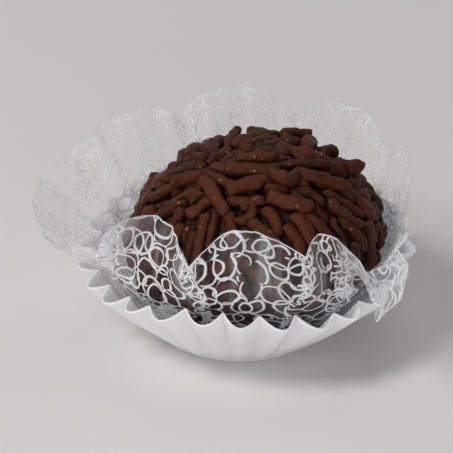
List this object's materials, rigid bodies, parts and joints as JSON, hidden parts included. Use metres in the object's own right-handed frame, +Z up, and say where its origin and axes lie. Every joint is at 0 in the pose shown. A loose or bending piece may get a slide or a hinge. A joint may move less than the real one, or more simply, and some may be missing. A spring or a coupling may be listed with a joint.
{
  "type": "brigadeiro",
  "caption": "Round chocolate sweet coated in chocolate sprinkles, resting in a scalloped clear film liner printed with lace loops and a fluted white paper case.",
  "frame": {"origin": "centre of the paper case's flat base, on the surface it stands on", "axes": "+Z up, -Y the front, where two petals of the liner lie against the sweet, +X right, where one petal hangs over the case"},
  "size_m": [0.0508, 0.0476, 0.0262],
  "materials": {
    "case_paper": "white greaseproof paper, matte",
    "liner_film": "clear glossy film printed with thin white loops",
    "chocolate": "dark brown chocolate sprinkles, dull and slightly waxy"
  },
  "bodies": {
    "root": {"paper_case": "case_paper", "lace_film": "liner_film", "sweet": "chocolate"}
  },
  "joints": []
}
